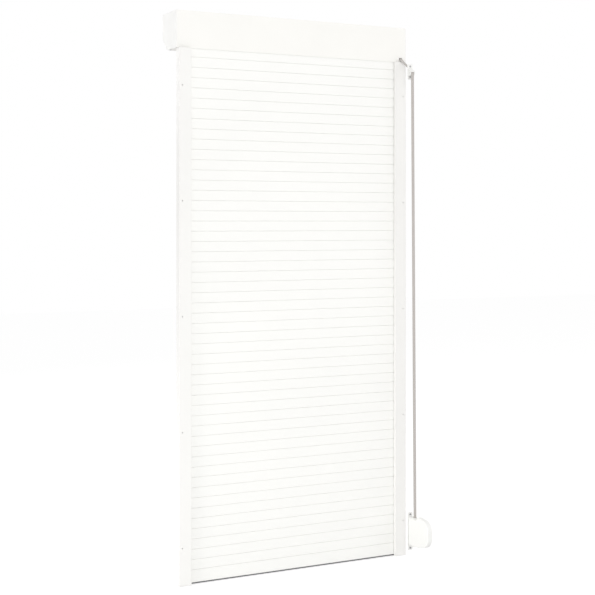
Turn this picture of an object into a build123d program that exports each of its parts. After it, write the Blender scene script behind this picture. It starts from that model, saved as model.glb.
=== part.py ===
"""Exterior roller shutter, closed, worked by a strap that winds into a swivelling coiler.

X runs along the width, to the right as seen from the window. -Y is the window side, +Y the outside, +Z up.
The origin is midway between the two guides, at their feet, in the plane of their window-side faces.
"""
import math
import os

from build123d import *

os.makedirs("parts", exist_ok=True)

# Whole shutter
shutter_width = 1070.0
shutter_height = 2290.0
fit_gap = 0.3  # between pieces that are pushed together
running_gap = 0.05  # radial, between a pin and the bore that turns on it
cut_over = 2.0  # how far a cut runs past the face it opens

# Box
box_size = 150.0
box_chamfer = 50.0
box_setback = 13.0  # box face behind the guides' faces
box_wall = 1.0
box_edge_radius = 1.5
curtain_slot_width = 13.0
cover_lip = 9.0
cover_hook = 12.0
cap_thickness = 3.0
cap_flange_depth = 10.0
cap_flange_wall = 1.6

# Guides
guide_width = 53.0
guide_depth = 33.0
guide_inset = 7.5  # from the end of the box
guide_wall = 1.6
guide_edge_radius = 1.0
channel_depth = 25.5
seal_width = 7.0
seal_thickness = 2.2
seal_gap = 0.4  # between a seal and the slats
fixing_hole_radius = 2.1
fixing_access_radius = 5.0
fixing_first_height = 150.0
fixing_spacing = 460.0
fixing_count = 5

# Slats
slat_pitch = 41.0
slat_thickness = 7.0
slat_skin = 0.4
slat_gap = 0.8
slat_corner_radius = 1.2
slat_overlap = 20.0  # length of slat inside each guide
pocket_width = 5.2
pocket_height = 8.0
pocket_mouth = 3.0
pocket_lip = 1.0
hook_neck = 1.2
hook_head_width = 4.2
hook_head_height = 1.4
hook_reach = 4.4
slats_per_node = 5
top_slat_lean_shares = (0.48, 1.02)  # of the slope from the curtain to the tube
top_slat_play = 1.0
clip_thickness = 2.0
clip_height = 28.0
clip_margin = 0.3

# Final slat
foot_gap = 0.5
gasket_height = 5.0
gasket_bulb_width = 6.4
gasket_groove_width = 3.4
gasket_groove_depth = 5.0
gasket_stem_gap = 0.2
final_slat_height = 50.5
final_slat_wall = 1.5
final_plug_thickness = 2.0
stop_width = 40.0
stop_height = 14.0
stop_depth = 12.0
stop_below_top = 11.0
stop_spacing = 600.0
stop_radius = 3.0
stop_screw_radius = 1.9
stop_screw_head_radius = 3.6
stop_screw_head_depth = 2.0

# Tube and its bearings
tube_across_flats = 40.0
tube_wall = 1.0
tube_sides = 8
tube_left_gap = 22.0  # from the left end cap's inner face to the tube
plug_length = 36.0
plug_flange_radius = 25.0
plug_flange_thickness = 3.0
pin_radius = 6.0
pin_bite = 24.0  # length of pin inside its plug
bearing_radius = 14.0
bearing_width = 8.0
bearing_ring_wall = 3.0
bearing_groove_depth = 1.2
boss_wall = 3.0
boss_floor = 2.0
cover_screw_head_radius = 3.2
cover_screw_head_height = 1.8
boss_flange_radius = 26.0
boss_flange_thickness = 2.5

# Strap and its pulley
strap_width = 14.0
strap_thickness = 1.2
strap_inset = 26.4  # middle of the strap from the right end of the box
pulley_clearance = 4.2
pulley_flange_wall = 1.5
pulley_gap = 17.0
pulley_core_radius = 51.0
pulley_core_wall = 2.5
pulley_web = 3.0
pulley_rib_count = 6
pulley_rib_width = 3.0
pulley_hub_radius = 22.0
strap_roll_radius = 60.0
roller_gap = 0.25  # between the strap and a roller or a roll

# Strap outlet in the box face
outlet_height = 15.3  # above the bottom of the box
outlet_slot_height = 11.2
outlet_slot_width = 18.0
outlet_flange = 2.5
outlet_flange_thickness = 1.2
outlet_depth = 13.0
outlet_wall = 1.6
outlet_roller_radius = 3.5
outlet_roller_pin_radius = 1.5
outlet_roller_back = 6.0  # roller's axis behind the box face

# Strap guide on the room side of the window frame
frame_depth = 63.0  # from the guides' faces to the room side of the frame
strap_guide_drop = 64.0  # its middle below the place where the strap leaves the box
strap_guide_plate_height = 68.0
strap_guide_plate_width = 26.0
strap_guide_plate_thickness = 3.0
strap_guide_opening_height = 28.0
strap_guide_screw_spacing = 46.0
strap_guide_roller_radius = 7.0
strap_guide_pin_radius = 2.0
strap_guide_cheek_wall = 1.8
strap_guide_cheek_radius = 11.0
strap_stand_off = 20.5  # strap in front of the room side of the frame, at the guide
strap_guide_hood_wall = 1.6
strap_guide_hood_arc = 37.5  # degrees round the roller, past the slanted part
strap_guide_side_gap = 0.7  # between the strap's edge and the roller's end

# Strap coiler
coiler_foot_height = 64.0  # bottom of the case above the guides' feet
coiler_height = 115.0  # of the case between its two arms
coiler_length = 153.8
coiler_width = 23.0
coiler_crown_height = 130.0
coiler_crown_start = 24.0  # in front of the swivel axis
coiler_crown_run = 12.0
coiler_crown_radius = 8.0
coiler_belly_start = 36.0  # in front of the swivel axis
coiler_front_low = 20.0  # lower front corner above the bottom of the case
coiler_front_high = 121.0
coiler_front_radius = 45.0
coiler_wall = 2.0
coiler_edge_radius = 3.0
coiler_rear_radius = 5.0
coiler_rear_gap = 2.2
coiler_axis_off = 41.0  # swivel axis in front of the room side of the frame
coiler_plate_width = 23.0
coiler_plate_thickness = 3.0
coiler_plate_height = 163.0
coiler_plate_middle = 119.5  # above the guides' feet
coiler_arm_thickness = 3.0
coiler_arm_gap = 0.5
coiler_screw_spacing = 144.0
coiler_bush_radius = 9.0
coiler_bush_bore = 7.7
coiler_bush_drop = 8.0
coiler_bush_flange = 1.5
coiler_foot_pin_radius = 3.0
coiler_foot_pin_rise = 9.0
coiler_boss_radius = 6.0
screw_radius = 2.0
screw_head_radius = 4.2
screw_head_height = 2.4
screw_slot_width = 1.1
screw_slot_depth = 1.1
axle_radius = 4.0
axle_slot_width = 1.4
drum_flange_radius = 52.0
drum_front_gap = 8.0
drum_low_gap = 13.0
drum_flange_wall = 1.3
drum_hub_radius = 20.0
drum_hub_wall = 1.4
drum_boss_radius = 6.0
drum_boss_length = 2.0
drum_coil_radius = 24.4
drum_window_radius = 8.0
drum_window_circle = 38.0
drum_window_count = 6
spring_turns = 7
spring_wall = 0.6
spring_width = 11.0
spring_inner_radius = 7.0
spring_outer_radius = 17.6
case_screw_radius = 1.6
case_screw_post_radius = 3.4
case_screw_head_radius = 2.8
case_screw_head_depth = 1.8
case_screw_low = 9.0
case_screw_high = 6.5
case_screw_rear = 24.0  # behind the swivel axis
case_screw_front = 21.0
case_screw_length = 17.0

# Suspension strips between the tube and the top slat
strip_count = 3
strip_width = 22.0
strip_thickness = 0.8
strip_end_inset = 170.0
strip_grip = 16.0
strip_bend_radius = 6.0
strip_hook_gap = 0.5
rivet_head_radius = 4.0
rivet_head_height = 1.2

# Spigots, funnels and foot plugs of the guides
spigot_length = 40.0
spigot_front_gap = 1.5
spigot_root_height = 4.0
funnel_height = 24.0
funnel_radius = 27.5
funnel_wall = 1.5
funnel_clearance = 0.8
foot_plug_flange = 2.0
foot_plug_depth = 15.0

# Places worked out from the sizes above
half_width = shutter_width / 2
box_bottom = shutter_height - box_size
box_back = box_setback + box_size
cap_inner_x = half_width - cap_thickness
roll_space_radius = (2 * box_size - box_chamfer) / (2 + math.sqrt(2)) - box_wall
tube_y = box_setback + box_wall + roll_space_radius
tube_z = shutter_height - box_wall - roll_space_radius
guide_outer_x = half_width - guide_inset
guide_inner_x = guide_outer_x - guide_width
slat_front_y = box_setback + 2 * box_wall
slat_y = slat_front_y + slat_thickness / 2
slat_end_x = guide_inner_x + slat_overlap
channel_half = slat_thickness / 2 + seal_gap + seal_thickness
channel_floor_x = guide_inner_x + channel_depth
chamber_inner_x = channel_floor_x + guide_wall
chamber_outer_x = guide_outer_x - guide_wall
fixing_x = (chamber_inner_x + chamber_outer_x) / 2
first_slat_z = foot_gap + gasket_height + final_slat_height
slat_count = math.ceil((box_bottom - first_slat_z) / slat_pitch) - 1
slat_nodes = math.ceil(slat_count / slats_per_node)
top_slat_z = first_slat_z + slat_count * slat_pitch
top_slope = math.degrees(math.atan2(tube_y - slat_y, tube_z - top_slat_z))
top_slat_leans = [share * top_slope for share in top_slat_lean_shares]
strap_x = half_width - strap_inset
strap_start_x = strap_x - strap_width / 2
pulley_radius = roll_space_radius - pulley_clearance
frame_y = -frame_depth
outlet_z = box_bottom + outlet_height

box_outline = (
    (box_setback, box_bottom),
    (box_setback, shutter_height),
    (box_back, shutter_height),
    (box_back, box_bottom + box_chamfer),
    (box_back - box_chamfer, box_bottom),
)


def save(piece, name):
    """Labels a finished piece and writes it under its own name."""
    piece.part.label = name
    export_step(piece.part, "parts/" + name + ".step")


def between(low_x, high_x):
    """A sketch plane across the width at low_x, and the length to extrude up to high_x."""
    return Plane.YZ.offset(low_x), high_x - low_x


def run_between(centre_a, radius_a, centre_b, radius_b):
    """The straight run that touches two circles. A radius is positive where its centre lies left of the run."""
    gap_y, gap_z = centre_b[0] - centre_a[0], centre_b[1] - centre_a[1]
    turn = math.asin((radius_b - radius_a) / math.hypot(gap_y, gap_z))
    angle = math.atan2(gap_z, gap_y) - turn
    left_y, left_z = -math.sin(angle), math.cos(angle)
    start = (centre_a[0] - left_y * radius_a, centre_a[1] - left_z * radius_a)
    end = (centre_b[0] - left_y * radius_b, centre_b[1] - left_z * radius_b)
    return start, end


# Box: rear shell with the window-side face and the top
plane, length = between(-cap_inner_x, cap_inner_x)
with BuildPart() as box_rear_shell:
    with BuildSketch(plane):
        with BuildLine():
            Polyline(
                (box_setback, box_bottom),
                (box_setback, shutter_height),
                (box_back - box_wall - fit_gap, shutter_height),
                (box_back - box_wall - fit_gap, shutter_height - cover_hook),
            )
            offset(amount=box_wall, side=Side.RIGHT, kind=Kind.INTERSECTION)
        make_face()
    extrude(amount=length)
    with BuildSketch(Plane.XZ.offset(-box_setback + cut_over)):
        with Locations((strap_x, outlet_z)):
            RectangleRounded(outlet_slot_width, outlet_slot_height, outlet_wall)
    extrude(amount=-box_wall - 2 * cut_over, mode=Mode.SUBTRACT)
save(box_rear_shell, "box_rear_shell")

# Box: removable cover with the outside face, the slanted face and the bottom
slot_back_y = box_setback + box_wall + curtain_slot_width
with BuildPart() as box_front_cover:
    with BuildSketch(plane):
        with BuildLine():
            Polyline(
                (box_back, shutter_height - box_wall - fit_gap),
                (box_back, box_bottom + box_chamfer),
                (box_back - box_chamfer, box_bottom),
                (slot_back_y, box_bottom),
                (slot_back_y, box_bottom + cover_lip),
            )
            offset(amount=box_wall, side=Side.RIGHT, kind=Kind.INTERSECTION)
        make_face()
    extrude(amount=length)
save(box_front_cover, "box_front_cover")

# Box: end caps, each with a flange inside the shells, a bearing boss and a spigot for its guide
spigot_low_x = chamber_inner_x + fit_gap
spigot_high_x = chamber_outer_x - fit_gap
spigot_front_y = box_setback + box_wall + spigot_front_gap
spigot_back_y = slot_back_y - fit_gap
spigot_mid_y = (spigot_front_y + spigot_back_y) / 2
spigot_width_y = spigot_back_y - spigot_front_y
flange_inset = box_wall + fit_gap
boss_length = boss_floor + bearing_width
with BuildPart() as end_cap_right:
    with BuildSketch(Plane.YZ.offset(cap_inner_x)) as cap_face:
        with BuildLine():
            Polyline(*box_outline, close=True)
        make_face()
        fillet(cap_face.vertices(), radius=box_edge_radius)
    extrude(amount=cap_thickness)
    with BuildSketch(Plane.YZ.offset(cap_inner_x)):
        with BuildLine():
            Polyline(*box_outline, close=True)
        make_face()
        offset(amount=-flange_inset, kind=Kind.INTERSECTION, mode=Mode.REPLACE)
        offset(amount=-cap_flange_wall, kind=Kind.INTERSECTION, mode=Mode.SUBTRACT)
    extrude(amount=-cap_flange_depth)
    # The flange is open for the curtain and the cover's lip below, and for the rear shell's hook above
    with BuildSketch(Plane.YZ.offset(cap_inner_x)):
        with Locations((box_setback + box_wall, box_bottom)):
            Rectangle(
                curtain_slot_width + box_wall + fit_gap, cover_lip + fit_gap, align=(Align.MIN, Align.MIN)
            )
        with Locations((box_back, shutter_height)):
            Rectangle(2 * box_wall + 3 * fit_gap, cover_hook + fit_gap, align=(Align.MAX, Align.MAX))
    extrude(amount=-cap_flange_depth, mode=Mode.SUBTRACT)
    with BuildSketch(Plane.YZ.offset(cap_inner_x)):
        with Locations((tube_y, tube_z)):
            Circle(bearing_radius + boss_wall)
    extrude(amount=-boss_length)
    with BuildSketch(Plane.YZ.offset(cap_inner_x - boss_floor)):
        with Locations((tube_y, tube_z)):
            Circle(bearing_radius)
    extrude(amount=-bearing_width, mode=Mode.SUBTRACT)
    with BuildSketch(Plane.YZ.offset(cap_inner_x)):
        with Locations((tube_y, tube_z)):
            Circle(boss_flange_radius)
            Circle(bearing_radius, mode=Mode.SUBTRACT)
    extrude(amount=-boss_flange_thickness)
    with BuildSketch(Plane.XY.offset(box_bottom + box_wall + fit_gap)):
        with Locations((spigot_low_x, spigot_mid_y)):
            Rectangle(cap_inner_x - spigot_low_x, spigot_width_y, align=(Align.MIN, Align.CENTER))
    extrude(amount=spigot_root_height)
    with BuildSketch(Plane.XY.offset(box_bottom - spigot_length)):
        with Locations(((spigot_low_x + spigot_high_x) / 2, spigot_mid_y)):
            Rectangle(spigot_high_x - spigot_low_x, spigot_width_y)
    extrude(amount=spigot_length + box_wall + fit_gap)
save(end_cap_right, "end_cap_right")

with BuildPart() as end_cap_left:
    add(end_cap_right.part)
    mirror(about=Plane.YZ, mode=Mode.REPLACE)
save(end_cap_left, "end_cap_left")

# Box: screws that hold the cover and the shells on the end caps' flanges
cover_screw_x = cap_inner_x - cap_flange_depth / 2
cover_screw_ys = (box_setback + box_size / 2, box_back - box_chamfer - box_size / 10)
with BuildPart() as box_cover_screws:
    with BuildSketch(Plane.XY.offset(box_bottom)):
        with Locations(*[(side * cover_screw_x, y) for side in (-1, 1) for y in cover_screw_ys]):
            Circle(cover_screw_head_radius)
    extrude(amount=-cover_screw_head_height)
    fillet(box_cover_screws.faces().sort_by(Axis.Z)[0].edges(), radius=cover_screw_head_height / 2)
save(box_cover_screws, "box_cover_screws")

# Bearings of the tube, and the screws of their bosses
bearing_high_x = cap_inner_x - boss_floor
bearing_low_x = bearing_high_x - bearing_width
for side, name in ((-1, "tube_bearing_left"), (1, "tube_bearing_right")):
    with BuildPart() as bearing:
        with BuildSketch(Plane.YZ.offset(side * bearing_low_x)):
            with Locations((tube_y, tube_z)):
                Circle(bearing_radius - running_gap)
                Circle(pin_radius + running_gap, mode=Mode.SUBTRACT)
        extrude(amount=side * bearing_width)
        with BuildSketch(Plane.YZ.offset(side * bearing_low_x)):
            with Locations((tube_y, tube_z)):
                Circle(bearing_radius - bearing_ring_wall)
                Circle(pin_radius + bearing_ring_wall, mode=Mode.SUBTRACT)
        extrude(amount=side * bearing_groove_depth, mode=Mode.SUBTRACT)
    save(bearing, name)

# Octagonal roller tube
tube_turn = 180.0 / tube_sides
tube_left_x = -cap_inner_x + tube_left_gap
pulley_left_x = strap_x - pulley_gap / 2 - pulley_flange_wall
pulley_right_x = strap_x + pulley_gap / 2 + pulley_flange_wall
tube_inner_flats = tube_across_flats - 2 * tube_wall
with BuildPart() as roller_tube:
    plane, length = between(tube_left_x, pulley_left_x)
    with BuildSketch(plane):
        with Locations(Location((tube_y, tube_z, 0), (0, 0, tube_turn))):
            RegularPolygon(tube_across_flats / 2, tube_sides, major_radius=False)
            RegularPolygon(tube_inner_flats / 2, tube_sides, major_radius=False, mode=Mode.SUBTRACT)
    extrude(amount=length)
save(roller_tube, "roller_tube")

# Plug and steel pin at the tube's left end
plug_flats = tube_inner_flats - 2 * fit_gap
with BuildPart() as tube_end_plug:
    with BuildSketch(Plane.YZ.offset(tube_left_x)):
        with Locations((tube_y, tube_z)):
            Circle(plug_flange_radius)
    extrude(amount=-plug_flange_thickness)
    with BuildSketch(Plane.YZ.offset(tube_left_x)):
        with Locations(Location((tube_y, tube_z, 0), (0, 0, tube_turn))):
            RegularPolygon(plug_flats / 2, tube_sides, major_radius=False)
    extrude(amount=plug_length)
    with BuildSketch(Plane.YZ.offset(tube_left_x - plug_flange_thickness)):
        with Locations((tube_y, tube_z)):
            Circle(pin_radius + running_gap)
    extrude(amount=plug_flange_thickness + pin_bite, mode=Mode.SUBTRACT)
save(tube_end_plug, "tube_end_plug")

with BuildPart() as tube_end_pin:
    plane, length = between(-bearing_high_x + fit_gap, tube_left_x + pin_bite - fit_gap)
    with BuildSketch(plane):
        with Locations((tube_y, tube_z)):
            Circle(pin_radius)
    extrude(amount=length)
    chamfer(tube_end_pin.edges().filter_by(GeomType.CIRCLE), length=fit_gap)
save(tube_end_pin, "tube_end_pin")

# Strap pulley: core, two flanges, web, ribs and the neck that plugs into the tube
with BuildPart() as strap_pulley:
    with BuildSketch(Plane.YZ.offset(pulley_left_x)):
        with Locations((tube_y, tube_z)):
            Circle(pulley_radius)
    extrude(amount=pulley_flange_wall)
    with BuildSketch(Plane.YZ.offset(pulley_right_x)):
        with Locations((tube_y, tube_z)):
            Circle(pulley_radius)
            Circle(pulley_core_radius - pulley_core_wall, mode=Mode.SUBTRACT)
    extrude(amount=-pulley_flange_wall)
    with BuildSketch(Plane.YZ.offset(pulley_left_x)):
        with Locations((tube_y, tube_z)):
            Circle(pulley_core_radius)
            Circle(pulley_core_radius - pulley_core_wall, mode=Mode.SUBTRACT)
    extrude(amount=pulley_right_x - pulley_left_x)
    with BuildSketch(Plane.YZ.offset(pulley_left_x)) as ribs:
        with Locations((tube_y, tube_z)):
            Circle(pulley_hub_radius)
            with PolarLocations(pulley_hub_radius / 2, pulley_rib_count):
                rib_length = pulley_core_radius - pulley_core_wall / 2 - pulley_hub_radius / 2
                Rectangle(rib_length, pulley_rib_width, align=(Align.MIN, Align.CENTER))
    extrude(amount=pulley_right_x - pulley_left_x - pulley_web)
    with BuildSketch(Plane.YZ.offset(pulley_left_x)):
        with Locations(Location((tube_y, tube_z, 0), (0, 0, tube_turn))):
            RegularPolygon(plug_flats / 2, tube_sides, major_radius=False)
    extrude(amount=-plug_length)
    with BuildSketch(Plane.YZ.offset(pulley_right_x)):
        with Locations((tube_y, tube_z)):
            Circle(pin_radius + running_gap)
    extrude(amount=-pulley_web - pin_bite, mode=Mode.SUBTRACT)
save(strap_pulley, "strap_pulley")

with BuildPart() as pulley_pin:
    plane, length = between(pulley_right_x - pulley_web - pin_bite + fit_gap, bearing_high_x - fit_gap)
    with BuildSketch(plane):
        with Locations((tube_y, tube_z)):
            Circle(pin_radius)
    extrude(amount=length)
    chamfer(pulley_pin.edges().filter_by(GeomType.CIRCLE), length=fit_gap)
save(pulley_pin, "pulley_pin")

# Strap wound on the pulley
with BuildPart() as strap_on_pulley:
    with BuildSketch(Plane.YZ.offset(strap_start_x)):
        with Locations((tube_y, tube_z)):
            Circle(strap_roll_radius)
            Circle(pulley_core_radius + running_gap, mode=Mode.SUBTRACT)
    extrude(amount=strap_width)
save(strap_on_pulley, "strap_on_pulley")

# Slat section, drawn from its lower edge at the middle of its thickness
body_low = slat_gap / 2
body_high = slat_pitch - slat_gap / 2
head_low = slat_pitch + hook_reach - hook_head_height
with BuildSketch() as slat_section:
    with Locations((0, body_low)):
        Rectangle(slat_thickness, body_high - body_low, align=(Align.CENTER, Align.MIN))
    fillet(slat_section.vertices(), radius=slat_corner_radius)
    with Locations((0, body_low + pocket_lip)):
        Rectangle(pocket_width, pocket_height - pocket_lip, align=(Align.CENTER, Align.MIN), mode=Mode.SUBTRACT)
    with Locations((0, body_low - slat_gap)):
        Rectangle(pocket_mouth, pocket_lip + 2 * slat_gap, align=(Align.CENTER, Align.MIN), mode=Mode.SUBTRACT)
    cavity_low = body_low + pocket_height + slat_skin
    with Locations((0, cavity_low)):
        cavity_height = body_high - slat_skin - cavity_low
        Rectangle(slat_thickness - 2 * slat_skin, cavity_height, align=(Align.CENTER, Align.MIN), mode=Mode.SUBTRACT)
    with Locations((0, body_high - slat_skin)):
        neck_height = head_low + hook_head_height / 2 - body_high + slat_skin
        Rectangle(hook_neck, neck_height, align=(Align.CENTER, Align.MIN))
    with Locations((0, head_low)):
        RectangleRounded(
            hook_head_width, hook_head_height, hook_head_height / 3, align=(Align.CENTER, Align.MIN)
        )

# Curtain: nodes of like slats, stacked on the final slat
plane, length = between(-slat_end_x, slat_end_x)
for node in range(slat_nodes):
    first_index = node * slats_per_node
    indices = range(first_index, min(first_index + slats_per_node, slat_count))
    with BuildPart() as slats:
        with BuildSketch(plane):
            with Locations(*[(slat_y, first_slat_z + index * slat_pitch) for index in indices]):
                add(slat_section.sketch)
        extrude(amount=length)
    save(slats, "curtain_slats_%02d" % (node + 1))

# Curtain: the slat that enters the box and those that lean towards the tube
top_places = [Location((slat_y, top_slat_z, 0))]
head_rise = hook_reach - hook_head_height / 2
head_y, head_z = slat_y, top_slat_z + slat_pitch + head_rise
for lean in top_slat_leans:
    up_y, up_z = math.sin(math.radians(lean)), math.cos(math.radians(lean))
    foot_y = head_y - (head_rise - top_slat_play) * up_y
    foot_z = head_z - (head_rise - top_slat_play) * up_z
    top_places.append(Location((foot_y, foot_z, 0), (0, 0, -lean)))
    head_y = foot_y + (slat_pitch + head_rise) * up_y
    head_z = foot_z + (slat_pitch + head_rise) * up_z
with BuildPart() as curtain_top_slats:
    with BuildSketch(plane):
        with Locations(*top_places):
            add(slat_section.sketch)
    extrude(amount=length)
save(curtain_top_slats, "curtain_top_slats")

# Curtain: clips in the ends of every second slat, which keep the slats in line
clip_places = [
    (slat_y, first_slat_z + index * slat_pitch + slat_pitch / 2) for index in range(0, slat_count, 2)
]
with BuildPart() as slat_end_clips:
    for low_x in (-slat_end_x - clip_thickness, slat_end_x):
        with BuildSketch(Plane.YZ.offset(low_x)):
            with Locations(*clip_places):
                Rectangle(slat_thickness - 2 * clip_margin, clip_height)
        extrude(amount=clip_thickness)
save(slat_end_clips, "slat_end_clips")

# Final slat: a hollow bar with the slats' hook on top and a groove for the gasket below
final_low = foot_gap + gasket_height
final_high = first_slat_z - slat_gap / 2
plane, length = between(-slat_end_x, slat_end_x)
with BuildPart() as final_slat:
    with BuildSketch(plane) as final_section:
        with Locations((slat_y, final_low)):
            Rectangle(slat_thickness, final_high - final_low, align=(Align.CENTER, Align.MIN))
        fillet(final_section.vertices(), radius=slat_corner_radius)
        with Locations((slat_y, final_low)):
            Rectangle(
                gasket_groove_width, gasket_groove_depth, align=(Align.CENTER, Align.MIN), mode=Mode.SUBTRACT
            )
        with Locations((slat_y, final_low + gasket_groove_depth + final_slat_wall)):
            hollow = final_high - final_low - gasket_groove_depth - 2 * final_slat_wall
            Rectangle(
                slat_thickness - 2 * final_slat_wall, hollow, align=(Align.CENTER, Align.MIN), mode=Mode.SUBTRACT
            )
        with Locations((slat_y, final_high - slat_gap)):
            final_neck = hook_reach - hook_head_height / 2 + 3 * slat_gap / 2
            Rectangle(hook_neck, final_neck, align=(Align.CENTER, Align.MIN))
        with Locations((slat_y, first_slat_z + hook_reach - hook_head_height)):
            Rectangle(hook_head_width, hook_head_height, align=(Align.CENTER, Align.MIN))
    extrude(amount=length)
save(final_slat, "final_slat")

# Rubber gasket under the final slat
with BuildPart() as final_slat_gasket:
    with BuildSketch(plane) as gasket_section:
        with Locations((slat_y, foot_gap)):
            Rectangle(gasket_bulb_width, gasket_height, align=(Align.CENTER, Align.MIN))
        fillet(gasket_section.vertices().group_by(Axis.Z)[0], radius=gasket_bulb_width / 3)
        with Locations((slat_y, foot_gap + gasket_height)):
            Rectangle(
                gasket_groove_width - 2 * gasket_stem_gap,
                gasket_groove_depth - gasket_stem_gap,
                align=(Align.CENTER, Align.MIN),
            )
    extrude(amount=length)
save(final_slat_gasket, "final_slat_gasket")

# Plugs in the ends of the final slat
with BuildPart() as final_slat_plugs:
    for low_x in (-slat_end_x - final_plug_thickness, slat_end_x):
        with BuildSketch(Plane.YZ.offset(low_x)) as plug_face:
            with Locations((slat_y, (final_low + final_high) / 2)):
                RectangleRounded(slat_thickness, final_high - final_low, slat_corner_radius)
        extrude(amount=final_plug_thickness)
save(final_slat_plugs, "final_slat_plugs")

# Stops on the outside of the final slat, which meet the box when the shutter is up
stop_high = final_high - stop_below_top
stop_back_y = slat_y + slat_thickness / 2
stop_mid_z = stop_high - stop_height / 2
with BuildPart() as final_slat_stops:
    with BuildSketch(Plane.XZ.offset(-stop_back_y)):
        with Locations(*[(side * stop_spacing / 2, stop_mid_z) for side in (-1, 1)]):
            RectangleRounded(stop_width, stop_height, stop_radius)
    extrude(amount=-stop_depth)
    with BuildSketch(Plane.XZ.offset(-stop_back_y)):
        with Locations(*[(side * stop_spacing / 2, stop_mid_z) for side in (-1, 1)]):
            Circle(stop_screw_radius)
    extrude(amount=-stop_depth, mode=Mode.SUBTRACT)
    with BuildSketch(Plane.XZ.offset(-stop_back_y - stop_depth)):
        with Locations(*[(side * stop_spacing / 2, stop_mid_z) for side in (-1, 1)]):
            Circle(stop_screw_head_radius + running_gap)
    extrude(amount=stop_screw_head_depth, mode=Mode.SUBTRACT)
save(final_slat_stops, "final_slat_stops")

with BuildPart() as stop_screws:
    with BuildSketch(Plane.XZ.offset(-stop_back_y)):
        with Locations(*[(side * stop_spacing / 2, stop_mid_z) for side in (-1, 1)]):
            Circle(stop_screw_radius - running_gap)
    extrude(amount=-stop_depth + stop_screw_head_depth)
    with BuildSketch(Plane.XZ.offset(-stop_back_y - stop_depth)):
        with Locations(*[(side * stop_spacing / 2, stop_mid_z) for side in (-1, 1)]):
            Circle(stop_screw_head_radius)
    extrude(amount=stop_screw_head_depth)
save(stop_screws, "stop_screws")

# Guides: channel for the slats at the inner side, chamber for the fixings at the outer side
with BuildPart() as guide_right:
    with BuildSketch(Plane.XY) as guide_section:
        with Locations((guide_inner_x, 0)):
            Rectangle(guide_width, guide_depth, align=(Align.MIN, Align.MIN))
        fillet(guide_section.vertices(), radius=guide_edge_radius)
        with Locations((guide_inner_x, slat_y)):
            Rectangle(channel_depth, 2 * channel_half, align=(Align.MIN, Align.CENTER), mode=Mode.SUBTRACT)
        with Locations((chamber_inner_x, guide_wall)):
            Rectangle(
                chamber_outer_x - chamber_inner_x,
                guide_depth - 2 * guide_wall,
                align=(Align.MIN, Align.MIN),
                mode=Mode.SUBTRACT,
            )
        front_hollow = slat_y - channel_half - 2 * guide_wall
        with Locations((guide_inner_x + guide_wall, guide_wall)):
            Rectangle(
                channel_depth - guide_wall, front_hollow, align=(Align.MIN, Align.MIN), mode=Mode.SUBTRACT
            )
        back_hollow = guide_depth - slat_y - channel_half - 2 * guide_wall
        with Locations((guide_inner_x + guide_wall, guide_depth - guide_wall)):
            Rectangle(
                channel_depth - guide_wall, back_hollow, align=(Align.MIN, Align.MAX), mode=Mode.SUBTRACT
            )
    extrude(amount=box_bottom)
    fixing_places = [
        (fixing_x, fixing_first_height + index * fixing_spacing) for index in range(fixing_count)
    ]
    with BuildSketch(Plane.XZ.offset(cut_over)):
        with Locations(*fixing_places):
            Circle(fixing_hole_radius)
    extrude(amount=-guide_wall - 2 * cut_over, mode=Mode.SUBTRACT)
    with BuildSketch(Plane.XZ.offset(-guide_depth - cut_over)):
        with Locations(*fixing_places):
            Circle(fixing_access_radius)
    extrude(amount=guide_wall + 2 * cut_over, mode=Mode.SUBTRACT)
save(guide_right, "guide_right")

with BuildPart() as guide_left:
    add(guide_right.part)
    mirror(about=Plane.YZ, mode=Mode.REPLACE)
save(guide_left, "guide_left")

# Soft seals on both sides of each channel's mouth
for side, name in ((-1, "guide_seals_left"), (1, "guide_seals_right")):
    seal_x = side * (guide_inner_x + seal_width / 2 + guide_wall)
    with BuildPart() as seals:
        with BuildSketch(Plane.XY) as seal_sections:
            for face in (-1, 1):
                with Locations((seal_x, slat_y + face * (channel_half - seal_thickness / 2))):
                    RectangleRounded(seal_width, seal_thickness, seal_thickness / 3)
        extrude(amount=box_bottom)
    save(seals, name)

# Plastic plugs in the guides' feet
foot_width = chamber_outer_x - chamber_inner_x - 2 * fit_gap
with BuildPart() as guide_foot_plugs:
    for side in (-1, 1):
        with BuildSketch(Plane.XY):
            with Locations((side * fixing_x, guide_depth / 2)):
                Rectangle(foot_width, guide_depth - 2 * guide_wall - 2 * fit_gap)
        extrude(amount=foot_plug_depth)
        with BuildSketch(Plane.XY.offset(foot_plug_flange)):
            with Locations((side * fixing_x, guide_depth / 2)):
                Rectangle(foot_width - 2 * guide_wall, guide_depth - 4 * guide_wall - 2 * fit_gap)
        extrude(amount=foot_plug_depth - foot_plug_flange, mode=Mode.SUBTRACT)
save(guide_foot_plugs, "guide_foot_plugs")

# Funnels that lead the slats into the guides, standing on the guides inside the box
funnel_y = slat_y + slat_thickness / 2 + funnel_clearance
funnel_arc = math.degrees(math.asin(funnel_height / funnel_radius))
with BuildPart() as guide_funnels:
    for side in (-1, 1):
        with BuildSketch(Plane.YZ.offset(side * guide_inner_x)):
            with BuildLine():
                CenterArc((funnel_y + funnel_radius, box_bottom), funnel_radius, 180, -funnel_arc)
                offset(amount=funnel_wall, side=Side.RIGHT)
            make_face()
        extrude(amount=side * (channel_depth - guide_wall))
save(guide_funnels, "guide_funnels")

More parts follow.
